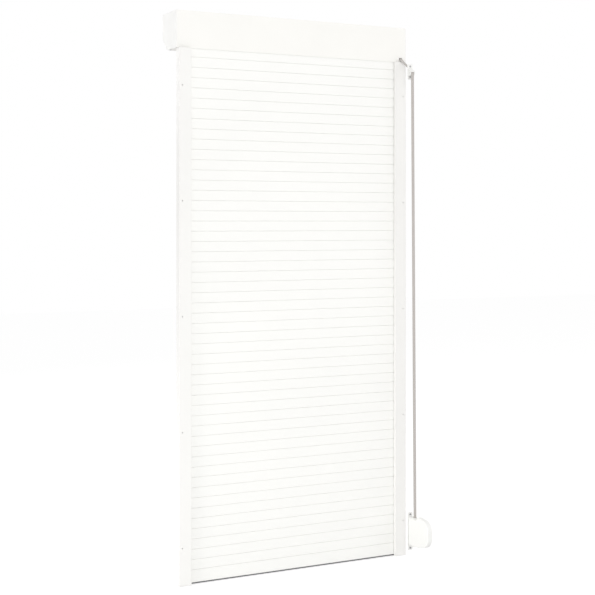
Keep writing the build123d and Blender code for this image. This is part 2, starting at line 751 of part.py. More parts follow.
# Suspension strips: riveted on the tube's top flat, hooked over the top slat's head
strip_spacing = (slat_end_x - strip_end_inset) * 2 / (strip_count - 1)
strip_xs = [-slat_end_x + strip_end_inset + index * strip_spacing for index in range(strip_count)]
tube_top_z = tube_z + tube_across_flats / 2
last_lean = math.radians(top_slat_leans[-1])
strip_rise = hook_head_height / 2 + strip_hook_gap + strip_thickness / 2
strip_reach_y, strip_reach_z = pocket_width * math.cos(last_lean) / 2, pocket_width * math.sin(last_lean) / 2
strip_y = head_y + strip_rise * math.sin(last_lean)
strip_z = head_z + strip_rise * math.cos(last_lean)
strip_mid_z = tube_top_z + strip_thickness / 2 + running_gap
with BuildPart() as suspension_strips:
    for strip_x in strip_xs:
        with BuildLine(Plane.YZ.offset(strip_x)) as strip_path:
            FilletPolyline(
                (strip_y - strip_reach_y, strip_z + strip_reach_z),
                (strip_y + strip_reach_y, strip_z - strip_reach_z),
                (tube_y - strip_grip, strip_mid_z),
                (tube_y + strip_grip / 2, strip_mid_z),
                radius=strip_bend_radius / 3,
            )
        with BuildSketch(Plane(strip_path.line @ 0, x_dir=(1, 0, 0), z_dir=strip_path.line % 0)):
            Rectangle(strip_width, strip_thickness)
        sweep(path=strip_path.line)
save(suspension_strips, "suspension_strips")

with BuildPart() as strip_rivets:
    with BuildSketch(Plane.XY.offset(tube_top_z + strip_thickness + 2 * running_gap)):
        with Locations(*[(strip_x, tube_y) for strip_x in strip_xs]):
            Circle(rivet_head_radius)
    extrude(amount=rivet_head_height)
save(strip_rivets, "strip_rivets")

# Strap outlet: a bush in the box face, with a roller that the strap bends over
outlet_roller_y = box_setback + outlet_roller_back
outlet_turn_radius = outlet_roller_radius + roller_gap + strap_thickness / 2
guide_turn_radius = strap_guide_roller_radius + roller_gap + strap_thickness / 2
guide_roller_y = frame_y - strap_stand_off + guide_turn_radius
guide_roller_z = outlet_z - strap_guide_drop - strap_guide_roller_radius
# The strap crosses the box face at outlet_z, so the roller stands under it by its own turn radius
run_slope = math.atan2(outlet_z - guide_roller_z - guide_turn_radius, box_setback - guide_roller_y)
outlet_roller_z = outlet_z + outlet_roller_back * math.tan(run_slope) - outlet_turn_radius / math.cos(run_slope)
outlet_roller = (outlet_roller_y, outlet_roller_z)
guide_roller = (guide_roller_y, guide_roller_z)

outlet_mid_y = box_setback + box_wall
with BuildPart() as strap_outlet:
    with BuildSketch(Plane.XZ.offset(-outlet_mid_y)):
        with Locations((strap_x, outlet_z)):
            RectangleRounded(
                outlet_slot_width + 2 * outlet_flange, outlet_slot_height + outlet_flange, outlet_wall
            )
            RectangleRounded(
                outlet_slot_width - 2 * outlet_wall,
                outlet_slot_height - 2 * outlet_wall,
                outlet_wall / 2,
                mode=Mode.SUBTRACT,
            )
    extrude(amount=-outlet_flange_thickness)
    for side in (-1, 1):
        cheek_x = strap_x + side * (outlet_slot_width / 2 - outlet_wall / 2)
        with BuildSketch(Plane.YZ.offset(cheek_x - outlet_wall / 2)):
            with Locations((outlet_mid_y, outlet_z - outlet_slot_height / 2 - outlet_flange / 2)):
                Rectangle(outlet_depth, outlet_slot_height, align=(Align.MIN, Align.MIN))
            with Locations(outlet_roller):
                Circle(outlet_roller_pin_radius + running_gap, mode=Mode.SUBTRACT)
        extrude(amount=outlet_wall)
    with BuildSketch(Plane.XZ.offset(-box_setback + fit_gap)):
        with Locations((strap_x, outlet_z)):
            RectangleRounded(
                outlet_slot_width - 2 * fit_gap, outlet_slot_height - 2 * fit_gap, outlet_wall - fit_gap
            )
            RectangleRounded(
                outlet_slot_width - 2 * outlet_wall,
                outlet_slot_height - 2 * outlet_wall,
                outlet_wall / 2,
                mode=Mode.SUBTRACT,
            )
    extrude(amount=-box_wall - fit_gap)
save(strap_outlet, "strap_outlet")

outlet_inner_half = outlet_slot_width / 2 - outlet_wall
with BuildPart() as outlet_roller_piece:
    with BuildSketch(Plane.YZ.offset(strap_x - outlet_inner_half + fit_gap)):
        with Locations(outlet_roller):
            Circle(outlet_roller_radius)
            Circle(outlet_roller_pin_radius + running_gap, mode=Mode.SUBTRACT)
    extrude(amount=2 * (outlet_inner_half - fit_gap))
save(outlet_roller_piece, "outlet_roller")

with BuildPart() as outlet_roller_pin:
    with BuildSketch(Plane.YZ.offset(strap_x - outlet_slot_width / 2)):
        with Locations(outlet_roller):
            Circle(outlet_roller_pin_radius)
    extrude(amount=outlet_slot_width)
save(outlet_roller_pin, "outlet_roller_pin")

# Strap: from the roll on the pulley, over the two rollers, down into the coiler's throat
coiler_axis_y = frame_y - coiler_axis_off
coiler_low_z = coiler_foot_height
coiler_top_z = coiler_low_z + coiler_height
coiler_inlet = (coiler_axis_y, coiler_top_z - coiler_bush_drop / 2)
roll_turn_radius = strap_roll_radius + roller_gap + strap_thickness / 2
roll_end, outlet_in = run_between((tube_y, tube_z), -roll_turn_radius, outlet_roller, outlet_turn_radius)
outlet_out, guide_in = run_between(outlet_roller, outlet_turn_radius, guide_roller, guide_turn_radius)
guide_out, run_end = run_between(guide_roller, guide_turn_radius, coiler_inlet, 0)
with BuildPart() as strap_run:
    with BuildLine(Plane.YZ.offset(strap_x)) as strap_route:
        to_outlet = Line(roll_end, outlet_in)
        TangentArc(outlet_in, outlet_out, tangent=to_outlet % 1)
        to_guide = Line(outlet_out, guide_in)
        TangentArc(guide_in, guide_out, tangent=to_guide % 1)
        Line(guide_out, run_end)
    with BuildSketch(Plane(strap_route.line @ 0, x_dir=(1, 0, 0), z_dir=strap_route.line % 0)):
        Rectangle(strap_width, strap_thickness)
    sweep(path=strap_route.line)
save(strap_run, "strap_run")



def beside_strap(radius, y):
    """The point at y on a line along the strap's slope, this far from the axis of the guide's roller."""
    start_y = guide_roller_y - radius * math.sin(strap_slope)
    start_z = guide_roller_z + radius * math.cos(strap_slope)
    return y, start_z + (y - start_y) * math.tan(strap_slope)


# Strap guide: plate with an opening for the strap and two cheeks for the roller
strap_guide_z = outlet_z - strap_guide_drop
roller_half = strap_width / 2 + strap_guide_side_gap
cheek_inner = roller_half + fit_gap
cheek_outer = cheek_inner + strap_guide_cheek_wall
strap_slope = math.atan2(outlet_out[1] - guide_in[1], outlet_out[0] - guide_in[0])
slant_start_y = guide_roller_y - strap_guide_cheek_radius * math.sin(strap_slope)
guide_screw_places = [(strap_x, strap_guide_z + side * strap_guide_screw_spacing / 2) for side in (-1, 1)]
with BuildPart() as strap_guide_plate:
    with BuildSketch(Plane.XZ.offset(frame_depth)):
        with Locations((strap_x, strap_guide_z)):
            RectangleRounded(strap_guide_plate_width, strap_guide_plate_height, strap_guide_plate_width / 3)
            RectangleRounded(
                2 * cheek_inner, strap_guide_opening_height, strap_guide_cheek_wall, mode=Mode.SUBTRACT
            )
        with Locations(*guide_screw_places):
            Circle(screw_radius + fit_gap, mode=Mode.SUBTRACT)
    extrude(amount=strap_guide_plate_thickness)
    chamfer(
        strap_guide_plate.faces().sort_by(Axis.Y)[0].outer_wire().edges(), length=strap_guide_plate_thickness / 3
    )
    for low_x in (strap_x - cheek_outer, strap_x + cheek_inner):
        with BuildSketch(Plane.YZ.offset(low_x)):
            with Locations(guide_roller):
                Circle(strap_guide_cheek_radius)
                Rectangle(
                    frame_y - guide_roller_y, 2 * strap_guide_cheek_radius, align=(Align.MIN, Align.CENTER)
                )
            with BuildLine():
                Polyline(
                    guide_roller,
                    (frame_y, guide_roller_z),
                    beside_strap(strap_guide_cheek_radius, frame_y),
                    beside_strap(strap_guide_cheek_radius, slant_start_y),
                    close=True,
                )
            make_face()
            with Locations(guide_roller):
                Circle(strap_guide_pin_radius + running_gap, mode=Mode.SUBTRACT)
        extrude(amount=strap_guide_cheek_wall)
save(strap_guide_plate, "strap_guide_plate")

# Strap guide: hood that sits on the cheeks over the strap
hood_radius = strap_guide_cheek_radius + strap_guide_hood_wall / 2
hood_end_y = frame_y - strap_guide_plate_thickness - strap_guide_hood_wall / 2 * math.sin(strap_slope) - fit_gap
with BuildPart() as strap_guide_hood:
    with BuildLine(Plane.YZ.offset(strap_x - cheek_outer)) as hood_line:
        hood_bend = CenterArc(guide_roller, hood_radius, 90 + math.degrees(strap_slope), strap_guide_hood_arc)
        Line(beside_strap(hood_radius, hood_end_y), hood_bend @ 0)
    with BuildSketch(Plane(hood_line.line @ 0, x_dir=(1, 0, 0), z_dir=hood_line.line % 0)):
        Rectangle(2 * cheek_outer, strap_guide_hood_wall, align=(Align.MIN, Align.CENTER))
    sweep(path=hood_line.line)
save(strap_guide_hood, "strap_guide_hood")

with BuildPart() as strap_guide_roller:
    with BuildSketch(Plane.YZ.offset(strap_x - roller_half)):
        with Locations(guide_roller):
            Circle(strap_guide_roller_radius)
            Circle(strap_guide_pin_radius + running_gap, mode=Mode.SUBTRACT)
    extrude(amount=2 * roller_half)
save(strap_guide_roller, "strap_guide_roller")

with BuildPart() as strap_guide_pin:
    with BuildSketch(Plane.YZ.offset(strap_x - cheek_outer)):
        with Locations(guide_roller):
            Circle(strap_guide_pin_radius)
    extrude(amount=2 * cheek_outer)
save(strap_guide_pin, "strap_guide_pin")


def slotted_screws(places, seat_off):
    """Screws through a plate on the window frame, with their heads on its room side."""
    with BuildPart() as screws:
        with BuildSketch(Plane.XZ.offset(frame_depth)):
            with Locations(*places):
                Circle(screw_radius)
        extrude(amount=seat_off)
        with BuildSketch(Plane.XZ.offset(frame_depth + seat_off)):
            with Locations(*places):
                Circle(screw_head_radius)
        extrude(amount=screw_head_height)
        fillet(screws.faces().group_by(Axis.Y)[0].edges(), radius=screw_head_height / 2)
        with BuildSketch(Plane.XZ.offset(frame_depth + seat_off + screw_head_height)):
            with Locations(*places):
                Rectangle(2 * screw_head_radius, screw_slot_width)
        extrude(amount=-screw_slot_depth, mode=Mode.SUBTRACT)
    return screws


save(slotted_screws(guide_screw_places, strap_guide_plate_thickness), "strap_guide_screws")

# Coiler base: plate on the window frame and the two arms that hold the case
coiler_screw_places = [
    (strap_x, coiler_plate_middle + side * coiler_screw_spacing / 2) for side in (-1, 1)
]
arm_low_zs = (coiler_low_z - coiler_arm_gap - coiler_arm_thickness, coiler_top_z + coiler_arm_gap)
with BuildPart() as coiler_base:
    with BuildSketch(Plane.XZ.offset(frame_depth)):
        with Locations((strap_x, coiler_plate_middle)):
            RectangleRounded(coiler_plate_width, coiler_plate_height, coiler_plate_width / 4)
        with Locations(*coiler_screw_places):
            Circle(screw_radius + fit_gap, mode=Mode.SUBTRACT)
    extrude(amount=coiler_plate_thickness)
    for arm_z, hole_radius in zip(arm_low_zs, (coiler_foot_pin_radius, coiler_bush_radius)):
        with BuildSketch(Plane.XY.offset(arm_z)):
            with Locations((strap_x, coiler_axis_y)):
                Circle(coiler_plate_width / 2)
                Rectangle(coiler_plate_width, coiler_axis_off, align=(Align.CENTER, Align.MIN))
                Circle(hole_radius + running_gap, mode=Mode.SUBTRACT)
        extrude(amount=coiler_arm_thickness)
save(coiler_base, "coiler_base")
save(slotted_screws(coiler_screw_places, coiler_plate_thickness), "coiler_screws")

# Coiler base: hollow bush the strap runs through, and the pin under the case
with BuildPart() as coiler_bush:
    with BuildSketch(Plane.XY.offset(coiler_top_z - coiler_bush_drop)):
        with Locations((strap_x, coiler_axis_y)):
            Circle(coiler_bush_radius)
    extrude(amount=coiler_bush_drop + coiler_arm_gap + coiler_arm_thickness)
    with BuildSketch(Plane.XY.offset(coiler_top_z + coiler_arm_gap + coiler_arm_thickness)):
        with Locations((strap_x, coiler_axis_y)):
            Circle(coiler_plate_width / 2 - fit_gap)
    extrude(amount=coiler_bush_flange)
    with BuildSketch(Plane.XY.offset(coiler_top_z - coiler_bush_drop)):
        with Locations((strap_x, coiler_axis_y)):
            Circle(coiler_bush_bore)
    extrude(
        amount=coiler_bush_drop + coiler_arm_gap + coiler_arm_thickness + coiler_bush_flange, mode=Mode.SUBTRACT
    )
save(coiler_bush, "coiler_bush")

with BuildPart() as coiler_foot_pin:
    with BuildSketch(Plane.XY.offset(arm_low_zs[0])):
        with Locations((strap_x, coiler_axis_y)):
            Circle(coiler_foot_pin_radius)
    extrude(amount=coiler_arm_thickness + coiler_arm_gap + coiler_foot_pin_rise)
    chamfer(coiler_foot_pin.faces().sort_by(Axis.Z)[-1].edges(), length=fit_gap)
save(coiler_foot_pin, "coiler_foot_pin")

# Coiler case: two halves that meet at the strap's middle plane
case_rear_y = frame_y - coiler_plate_thickness - coiler_rear_gap
case_front_y = case_rear_y - coiler_length
drum_y = case_front_y + drum_flange_radius + drum_front_gap
drum_z = coiler_low_z + drum_flange_radius + drum_low_gap
drum_centre = (drum_y, drum_z)
case_half_width = coiler_width / 2
case_screw_places = [
    (screw_y, screw_z)
    for screw_y in (coiler_axis_y + case_screw_rear, coiler_axis_y - case_screw_front)
    for screw_z in (coiler_low_z + case_screw_low, coiler_top_z - case_screw_high)
]


def case_outline(inset):
    """The case seen from its side, drawn smaller by the inset."""
    belly_y = coiler_axis_y - coiler_belly_start
    step_y = coiler_axis_y - coiler_crown_start
    with BuildSketch() as outline:
        with BuildLine():
            Polyline(
                (case_rear_y, coiler_low_z),
                (belly_y, coiler_low_z),
                (case_front_y, coiler_low_z + coiler_front_low),
                (case_front_y, coiler_low_z + coiler_front_high),
                (step_y - coiler_crown_run, coiler_low_z + coiler_crown_height),
                (step_y, coiler_top_z),
                (case_rear_y, coiler_top_z),
                close=True,
            )
        make_face()
        corners = outline.vertices().sort_by(Axis.X)
        fillet(corners[:2], radius=coiler_front_radius)
        fillet(corners[2:5], radius=coiler_crown_radius)
        fillet(corners[5:], radius=coiler_rear_radius)
        if inset:
            offset(amount=-inset, kind=Kind.INTERSECTION, mode=Mode.REPLACE)
    return outline.sketch


throat_radius = coiler_bush_radius + running_gap
throat_depth = coiler_bush_drop + fit_gap
foot_boss_height = coiler_foot_pin_rise + fit_gap + coiler_wall
for side, name in ((-1, "coiler_case_left"), (1, "coiler_case_right")):
    outer_x = strap_x + side * case_half_width
    inner_x = outer_x - side * coiler_wall
    with BuildPart() as case_half:
        with BuildSketch(Plane.YZ.offset(outer_x)):
            add(case_outline(0))
        extrude(amount=-side * case_half_width)
        fillet(case_half.faces().sort_by(Axis.X)[-1 if side > 0 else 0].edges(), radius=coiler_edge_radius)
        with BuildSketch(Plane.YZ.offset(inner_x)):
            add(case_outline(coiler_wall))
        extrude(amount=-side * (case_half_width - coiler_wall), mode=Mode.SUBTRACT)
        # Posts for the case screws
        with BuildSketch(Plane.YZ.offset(inner_x)):
            with Locations(*case_screw_places):
                Circle(case_screw_post_radius)
        extrude(amount=-side * (case_half_width - coiler_wall))
        # Seat of the axle
        with BuildSketch(Plane.YZ.offset(inner_x)):
            with Locations(drum_centre):
                Circle(axle_radius + running_gap)
        extrude(amount=side * coiler_wall / 2, mode=Mode.SUBTRACT)
        # Throat that turns on the hollow bush, and boss that turns on the foot pin
        with BuildSketch(Plane.XY.offset(coiler_top_z - throat_depth)) as throat:
            with Locations((strap_x, coiler_axis_y)):
                Circle(throat_radius + coiler_wall)
            with Locations((strap_x, coiler_axis_y)):
                Rectangle(
                    2 * coiler_width, 2 * coiler_width,
                    align=(Align.MAX if side > 0 else Align.MIN, Align.CENTER), mode=Mode.SUBTRACT,
                )
        extrude(amount=throat_depth - coiler_wall / 2)
        with BuildSketch(Plane.XY.offset(coiler_low_z + coiler_wall / 2)):
            with Locations((strap_x, coiler_axis_y)):
                Circle(coiler_boss_radius)
                Rectangle(
                    2 * coiler_width, 2 * coiler_width,
                    align=(Align.MAX if side > 0 else Align.MIN, Align.CENTER), mode=Mode.SUBTRACT,
                )
        extrude(amount=foot_boss_height - coiler_wall / 2)
        with BuildSketch(Plane.XY.offset(coiler_top_z - throat_depth - cut_over)):
            with Locations((strap_x, coiler_axis_y)):
                Circle(throat_radius)
        extrude(amount=throat_depth + 2 * cut_over, mode=Mode.SUBTRACT)
        with BuildSketch(Plane.XY.offset(coiler_low_z - cut_over)):
            with Locations((strap_x, coiler_axis_y)):
                Circle(coiler_foot_pin_radius + running_gap)
        extrude(amount=coiler_foot_pin_rise + fit_gap + cut_over, mode=Mode.SUBTRACT)
        # Screw holes
        with BuildSketch(Plane.YZ.offset(strap_x + case_half_width - case_screw_head_depth)):
            with Locations(*case_screw_places):
                Circle(case_screw_radius)
        extrude(amount=-case_screw_length, mode=Mode.SUBTRACT)
        with BuildSketch(Plane.YZ.offset(strap_x + case_half_width)):
            with Locations(*case_screw_places):
                Circle(case_screw_head_radius)
        extrude(amount=-case_screw_head_depth, mode=Mode.SUBTRACT)
    save(case_half, name)

with BuildPart() as coiler_case_screws:
    with BuildSketch(Plane.YZ.offset(strap_x + case_half_width - case_screw_head_depth)):
        with Locations(*case_screw_places):
            Circle(case_screw_radius)
    extrude(amount=-case_screw_length)
    with BuildSketch(Plane.YZ.offset(strap_x + case_half_width)):
        with Locations(*case_screw_places):
            Circle(case_screw_head_radius)
            Rectangle(case_screw_head_radius, screw_slot_width / 2, mode=Mode.SUBTRACT)
    extrude(amount=-case_screw_head_depth)
save(coiler_case_screws, "coiler_case_screws")

# Coiler axle, fixed in the case, with a slot for the spring's inner end
axle_half = case_half_width - coiler_wall / 2
spring_low_x = strap_x - strap_width / 2 + drum_boss_length
with BuildPart() as coiler_axle:
    with BuildSketch(Plane.YZ.offset(strap_x - axle_half)):
        with Locations(drum_centre):
            Circle(axle_radius)
    extrude(amount=2 * axle_half)
    with BuildSketch(Plane.YZ.offset(spring_low_x - fit_gap)):
        with Locations(drum_centre):
            Rectangle(axle_radius + cut_over, axle_slot_width, align=(Align.MIN, Align.CENTER))
    extrude(amount=spring_width + 2 * fit_gap, mode=Mode.SUBTRACT)
save(coiler_axle, "coiler_axle")

# Coiler drum: flange with windows, hub for the strap, and boss that turns on the axle
flange_low_x = strap_x - strap_width / 2 - drum_flange_wall - fit_gap
with BuildPart() as coiler_drum:
    with BuildSketch(Plane.YZ.offset(flange_low_x)):
        with Locations(drum_centre):
            Circle(drum_flange_radius)
            with PolarLocations(drum_window_circle, drum_window_count):
                Circle(drum_window_radius, mode=Mode.SUBTRACT)
    extrude(amount=drum_flange_wall)
    with BuildSketch(Plane.YZ.offset(flange_low_x)):
        with Locations(drum_centre):
            Circle(drum_hub_radius)
            Circle(drum_hub_radius - drum_hub_wall, mode=Mode.SUBTRACT)
    extrude(amount=drum_flange_wall + strap_width + 2 * fit_gap)
    with BuildSketch(Plane.YZ.offset(flange_low_x)):
        with Locations(drum_centre):
            Circle(drum_boss_radius)
    extrude(amount=drum_flange_wall + drum_boss_length - fit_gap)
    with BuildSketch(Plane.YZ.offset(flange_low_x)):
        with Locations(drum_centre):
            Circle(axle_radius + running_gap)
    extrude(amount=drum_flange_wall + drum_boss_length, mode=Mode.SUBTRACT)
save(coiler_drum, "coiler_drum")

# Strap in the coiler: the coil on the drum, and the run from the throat to the coil
with BuildPart() as strap_on_drum:
    with BuildSketch(Plane.YZ.offset(strap_start_x)):
        with Locations(drum_centre):
            Circle(drum_coil_radius)
            Circle(drum_hub_radius + running_gap, mode=Mode.SUBTRACT)
    extrude(amount=strap_width)
save(strap_on_drum, "strap_on_drum")

coil_turn_radius = drum_coil_radius + roller_gap + strap_thickness / 2
inner_start = (coiler_axis_y, coiler_inlet[1] - 2 * fit_gap)
inner_start, inner_end = run_between(inner_start, 0, drum_centre, -coil_turn_radius)
with BuildPart() as strap_in_coiler:
    with BuildLine(Plane.YZ.offset(strap_x)) as inner_route:
        Line(inner_start, inner_end)
    with BuildSketch(Plane(inner_route.line @ 0, x_dir=(1, 0, 0), z_dir=inner_route.line % 0)):
        Rectangle(strap_width, strap_thickness)
    sweep(path=inner_route.line)
save(strap_in_coiler, "strap_in_coiler")

# Spiral spring between the axle and the drum, drawn as half circles that grow by half a step
spring_step = (spring_outer_radius - spring_inner_radius) / spring_turns
with BuildPart() as coiler_spring:
    with BuildLine(Plane.YZ.offset(spring_low_x + spring_width / 2)) as spring_line:
        end_y = drum_y + spring_inner_radius
        for half_turn in range(2 * spring_turns):
            way = -1 if half_turn % 2 == 0 else 1
            across = 2 * spring_inner_radius + (half_turn + 0.5) * spring_step
            ThreePointArc(
                (end_y, drum_z),
                (end_y + way * across / 2, drum_z - way * across / 2),
                (end_y + way * across, drum_z),
            )
            end_y += way * across
    with BuildSketch(Plane(spring_line.line @ 0, x_dir=(1, 0, 0), z_dir=spring_line.line % 0)):
        Rectangle(spring_width, spring_wall)
    sweep(path=spring_line.line)
save(coiler_spring, "coiler_spring")
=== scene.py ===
"""Exterior roller shutter with a strap and a swivelling strap coiler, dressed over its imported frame."""
import math

import bmesh
import bpy
from mathutils import Matrix, Vector


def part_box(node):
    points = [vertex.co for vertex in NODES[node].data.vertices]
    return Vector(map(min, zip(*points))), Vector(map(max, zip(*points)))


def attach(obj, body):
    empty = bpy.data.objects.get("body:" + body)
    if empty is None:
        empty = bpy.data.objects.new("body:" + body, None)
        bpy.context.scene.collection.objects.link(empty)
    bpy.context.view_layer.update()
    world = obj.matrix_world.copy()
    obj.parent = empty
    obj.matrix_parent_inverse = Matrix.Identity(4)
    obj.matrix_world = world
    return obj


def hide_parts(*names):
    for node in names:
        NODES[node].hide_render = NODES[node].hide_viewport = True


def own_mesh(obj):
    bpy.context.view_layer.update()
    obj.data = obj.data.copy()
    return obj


bl_info = {
    "name": "Exterior roller shutter",
    "version": (1, 0, 0),
    "blender": (4, 5, 0),
    "location": "View3D > Sidebar > Shutter",
    "description": "Finishes and soft details of a roller shutter with a strap coiler",
    "category": "Add Mesh",
}

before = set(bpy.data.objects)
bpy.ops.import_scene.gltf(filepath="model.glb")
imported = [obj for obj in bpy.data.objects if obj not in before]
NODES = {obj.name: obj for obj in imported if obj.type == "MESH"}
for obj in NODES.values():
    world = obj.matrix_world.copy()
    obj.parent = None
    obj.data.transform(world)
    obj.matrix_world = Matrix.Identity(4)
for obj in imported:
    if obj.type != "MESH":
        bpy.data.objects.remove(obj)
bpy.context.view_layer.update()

# Curtain, in metres: each top slat has its lower edge's place and its lean in degrees
SLAT_NODES = ["curtain_slats_%02d" % number for number in range(1, 11)]
SLATS_PER_NODE = 5
SLAT_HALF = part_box(SLAT_NODES[0])[1].x
SLAT_Y = 0.0185
FIRST_SLAT_Z = 0.056
TOP_SLATS = (((SLAT_Y, 2.106), 0.0), ((0.017797, 2.148093), 15.091), ((0.028001, 2.188964), 32.068))
SLAT_FACE_CUTS = 7
SLAT_EDGE_RADIUS = 0.0011
HOOK_NECK_SIZE = (2 * SLAT_HALF, 0.0012, 0.0060)
HOOK_NECK_RISE = 0.0012
HOOK_HEAD_SIZE = (2 * SLAT_HALF, 0.0042, 0.0014)
HOOK_HEAD_RISE = 0.0037
HOOK_HEAD_BEVEL = 0.0004
CLIP_SIZE = (0.002, 0.0064, 0.028)
CLIP_BEVEL = 0.0004

# Strap, in metres: the circles that it goes round, as (y, z) and a radius, which is negative where the strap
# passes on their other side
STRAP_X = 0.5086
STRAP_THICKNESS = 0.0012
TUBE_AXIS = (0.0862233, 2.2167767)
DRUM_AXIS = (-0.162, 0.129)
OUTSIDE_ROUTE = ((TUBE_AXIS, -0.06085), ((0.019, 2.1542334), 0.00435), ((-0.07565, 2.0843), 0.00785),
                 ((-0.104, 0.1750), 0.0))
INSIDE_ROUTE = (((-0.104, 0.1744), 0.0), (DRUM_AXIS, -0.02525))
STEPS_ROUND_A_ROLLER = 12
STRAIGHT_STEP = 0.02

# Camera and lamps: each lamp has its place, target, size, power in watts and spread in degrees
CAMERA_PLACE = (-2.35233, -4.60110, 1.445)
CAMERA_TURN = -27.066
CAMERA_LENS = 75.25
CAMERA_SENSOR = 36.0
CAMERA_SHIFT_Y = -0.1264
LAMPS = {
    "window light": ((-2.2, -6.2, 3.2), (0, 0, 1.2), 3.5, 88.0),
    "low light": ((-3.0, -0.55, 0.2), (0.5, -0.16, 0.13), 0.8, 3.4, 60.0),
    "room light": ((3.2, -5.2, 2.2), (0, 0, 1.1), 3.0, 20.0),
    "outside light": ((-2.0, 4.5, 3.5), (0, 0, 1.2), 3.0, 40.0),
}
ROOM_GLOW = 0.8
FLOOR_DEPTH = 0.001
FLOOR_COLOUR = (0.86, 0.86, 0.86, 1)
FLOOR_GLOW = 0.3


# Properties


class ShutterSizes(bpy.types.PropertyGroup):
    """Sizes of the details that are made here"""

    slat_pitch: bpy.props.FloatProperty(
        name="Slat pitch", description="From one slat to the next", default=0.041, unit="LENGTH", precision=4)
    slat_thickness: bpy.props.FloatProperty(
        name="Slat thickness", description="Outer thickness of a slat", default=0.007, unit="LENGTH", precision=4)
    slat_gap: bpy.props.FloatProperty(
        name="Slat gap", description="Open line between two slats", default=0.0008, unit="LENGTH", precision=4)
    slat_crown: bpy.props.FloatProperty(
        name="Slat crown", description="How far a slat's faces fall away at their edges", default=0.0004,
        unit="LENGTH", precision=4)
    strap_width: bpy.props.FloatProperty(
        name="Strap width", description="Width of the woven strap", default=0.014, unit="LENGTH", precision=4)
    weave_pitch: bpy.props.FloatProperty(
        name="Weave pitch", description="Length of one twill line of the strap", default=0.0014, unit="LENGTH",
        precision=4)
    floor_size: bpy.props.FloatProperty(
        name="Floor size", description="Length of the floor's sides", default=30.0, unit="LENGTH")


class ShutterColours(bpy.types.PropertyGroup):
    """Colours of the shutter's finishes"""

    box: bpy.props.FloatVectorProperty(
        name="Box", description="Painted sheet of the box", subtype="COLOR", default=(0.955, 0.946, 0.912))
    caps: bpy.props.FloatVectorProperty(
        name="End caps", description="Painted caps at the box's ends", subtype="COLOR", default=(0.925, 0.92, 0.90))
    guides: bpy.props.FloatVectorProperty(
        name="Guides", description="Painted side guides", subtype="COLOR", default=(0.925, 0.918, 0.895))
    slats: bpy.props.FloatVectorProperty(
        name="Slats", description="Painted slats", subtype="COLOR", default=(0.965, 0.963, 0.938))
    plastic: bpy.props.FloatVectorProperty(
        name="Plastic", description="White moulded pieces", subtype="COLOR", default=(0.93, 0.928, 0.908))
    strap: bpy.props.FloatVectorProperty(
        name="Strap", description="Woven strap", subtype="COLOR", default=(0.62, 0.585, 0.555))
    gasket: bpy.props.FloatVectorProperty(
        name="Gasket", description="Rubber under the final slat", subtype="COLOR", default=(0.15, 0.15, 0.155))
    seals: bpy.props.FloatVectorProperty(
        name="Seals", description="Grey seals in the guides", subtype="COLOR", default=(0.74, 0.74, 0.72))


def sizes():
    return bpy.context.scene.shutter_sizes


def colours():
    return bpy.context.scene.shutter_colours


# Materials


class Finish:
    """A procedural material while it is put together."""

    def __init__(self, name):
        self.material = bpy.data.materials.new(name)
        self.material.use_nodes = True
        self.tree = self.material.node_tree
        self.shader = self.tree.nodes["Principled BSDF"]
        self.coordinates = self.tree.nodes.new("ShaderNodeTexCoord")

    def node(self, kind, **values):
        """A new node with some of its settings and sockets filled in."""
        made = self.tree.nodes.new(kind)
        for key, value in values.items():
            socket = made.inputs.get(key.replace("_", " "))
            if socket is not None and not hasattr(made, key):
                socket.default_value = value
            else:
                setattr(made, key, value)
        return made

    def link(self, source, target):
        self.tree.links.new(source, target)

    def place(self, scale=(1, 1, 1), location=(0, 0, 0), output="Object"):
        """Coordinates in metres, moved and stretched."""
        mapping = self.node("ShaderNodeMapping")
        mapping.inputs["Location"].default_value = location
        mapping.inputs["Scale"].default_value = scale
        self.link(self.coordinates.outputs[output], mapping.inputs["Vector"])
        return mapping.outputs["Vector"]

    def noise(self, vector, scale, detail=3.0, roughness=0.55):
        made = self.node("ShaderNodeTexNoise")
        made.inputs["Scale"].default_value = scale
        made.inputs["Detail"].default_value = detail
        made.inputs["Roughness"].default_value = roughness
        self.link(vector, made.inputs["Vector"])
        return made.outputs["Fac"]

    def range(self, source, low, high, low_in=0.3, high_in=0.7):
        made = self.node("ShaderNodeMapRange")
        made.inputs["From Min"].default_value = low_in
        made.inputs["From Max"].default_value = high_in
        made.inputs["To Min"].default_value = low
        made.inputs["To Max"].default_value = high
        self.link(source, made.inputs["Value"])
        return made.outputs["Result"]

    def math(self, operation, first, second=None):
        made = self.node("ShaderNodeMath", operation=operation)
        for index, value in enumerate((first, second)):
            if value is None:
                continue
            if isinstance(value, (int, float)):
                made.inputs[index].default_value = value
            else:
                self.link(value, made.inputs[index])
        return made.outputs[0]

    def tint(self, factor, first, second):
        """Base colour between two colours."""
        made = self.node("ShaderNodeMix", data_type="RGBA")
        for socket in made.inputs:
            if socket.type == "RGBA":
                socket.default_value = (*(first if socket.name == "A" else second), 1.0)
        self.link(factor, made.inputs[0])
        output = [socket for socket in made.outputs if socket.type == "RGBA"][0]
        self.link(output, self.shader.inputs["Base Color"])
        return output

    def bump(self, height, distance, strength=1.0):
        made = self.node("ShaderNodeBump")
        made.inputs["Strength"].default_value = strength
        made.inputs["Distance"].default_value = distance
        self.link(height, made.inputs["Height"])
        self.link(made.outputs["Normal"], self.shader.inputs["Normal"])


def shade(colour, factor):
    return tuple(min(1.0, channel * factor) for channel in colour)


